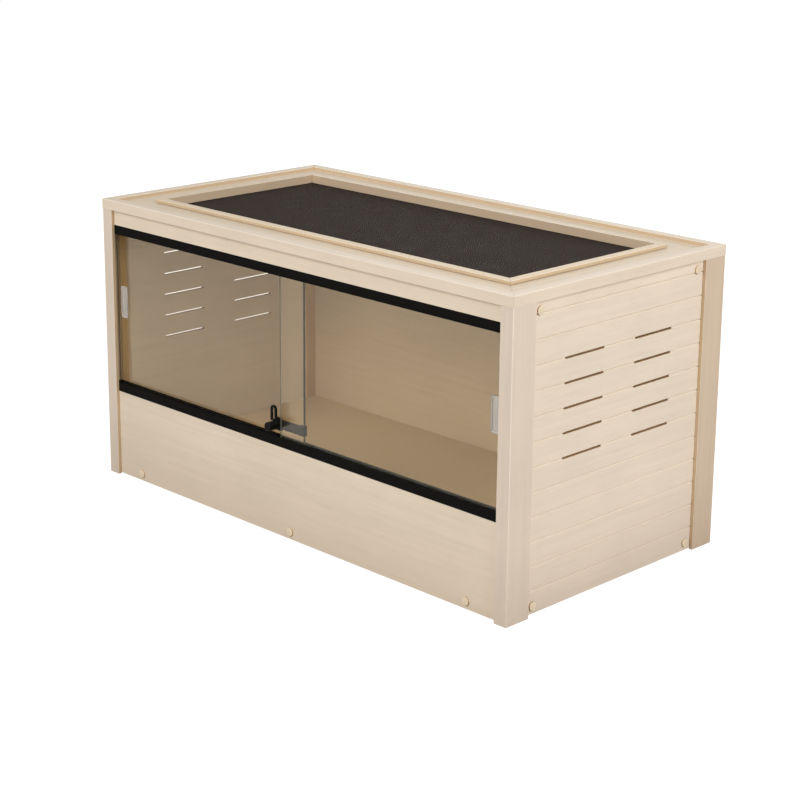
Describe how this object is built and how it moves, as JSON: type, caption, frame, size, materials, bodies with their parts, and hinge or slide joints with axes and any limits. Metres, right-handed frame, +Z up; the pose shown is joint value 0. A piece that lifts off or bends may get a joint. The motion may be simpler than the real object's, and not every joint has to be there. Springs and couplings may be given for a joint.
{
  "type": "terrarium cabinet",
  "caption": "Low wood-composite terrarium cabinet with planked vented sides, sliding glass front in black tracks, ratchet bar lock and lift-off screen top.",
  "frame": {"origin": "on the ground, in the middle of the bounding box, which takes in the lock barrel that stands 12 mm out of the front", "axes": "+Z up, -Y out of the glass front, +X to the right as seen from the front"},
  "size_m": [0.922, 0.492, 0.4801],
  "materials": {
    "wall_board": "fine-grained cream wood-plastic composite, matt",
    "post_extrusion": "fine-grained cream wood-plastic composite, matt",
    "floor": "smooth cream board, matt",
    "batten": "sawn cream board, matt",
    "screw_cap": "satin cream plastic",
    "track": "black extruded plastic, satin",
    "mesh": "fine dark insect screen",
    "pane": "clear float glass with ground edges",
    "pull": "clear moulded plastic",
    "lock": "black, satin",
    "lock_bar": "black coated strip, satin"
  },
  "bodies": {
    "cabinet": {"post_front_left": "post_extrusion", "post_rear_left": "post_extrusion", "post_front_right": "post_extrusion", "post_rear_right": "post_extrusion", "side_panel_right": "wall_board", "side_panel_left": "wall_board", "rear_panel": "wall_board", "lower_front_board": "wall_board", "header_board": "wall_board", "floor_board": "floor", "floor_batten_front": "batten", "floor_batten_rear": "batten", "floor_batten_left": "batten", "floor_batten_right": "batten", "top_batten_left": "batten", "top_batten_right": "batten", "cap_front_left": "screw_cap", "cap_front_middle": "screw_cap", "cap_front_right": "screw_cap", "cap_rear_left": "screw_cap", "cap_rear_middle": "screw_cap", "cap_rear_right": "screw_cap", "cap_left_lower_front": "screw_cap", "cap_left_lower_rear": "screw_cap", "cap_left_upper_front": "screw_cap", "cap_left_upper_rear": "screw_cap", "cap_right_lower_front": "screw_cap", "cap_right_lower_rear": "screw_cap", "cap_right_upper_front": "screw_cap", "cap_right_upper_rear": "screw_cap", "top_rail_front": "wall_board", "top_rail_right": "wall_board", "top_rail_rear": "wall_board", "top_rail_left": "wall_board", "track_lower": "track", "track_upper": "track"},
    "screen_top": {"screen_rail_front": "wall_board", "screen_rail_right": "wall_board", "screen_rail_rear": "wall_board", "screen_rail_left": "wall_board", "screen_mesh": "mesh"},
    "outer_pane": {"glass_pane_outer": "pane", "finger_pull_outer": "pull"},
    "inner_pane": {"glass_pane_inner": "pane", "finger_pull_inner": "pull", "lock_bar": "lock_bar"},
    "lock_body": {"lock_body": "lock"},
    "lock_key": {"lock_key": "lock"}
  },
  "joints": [
    {"name": "outer_pane_slide", "type": "slide", "parent": "cabinet", "child": "outer_pane", "axis": [-1, 0, 0], "range_m": [0, 0.35]},
    {"name": "inner_pane_slide", "type": "slide", "parent": "cabinet", "child": "inner_pane", "axis": [1, 0, 0], "range_m": [0, 0.415]},
    {"name": "screen_top_lift", "type": "slide", "parent": "cabinet", "child": "screen_top", "axis": [0, 0, 1], "range_m": [0, 0.12]},
    {"name": "lock_body_slide", "type": "slide", "parent": "outer_pane", "child": "lock_body", "axis": [-1, 0, 0], "range_m": [0, 0.028]},
    {"name": "lock_key_turn", "type": "hinge", "parent": "lock_body", "child": "lock_key", "pos_m": [-0.0323, -0.2316, 0.1907], "axis": [0, 0, 1], "range_deg": [0, 90]}
  ]
}
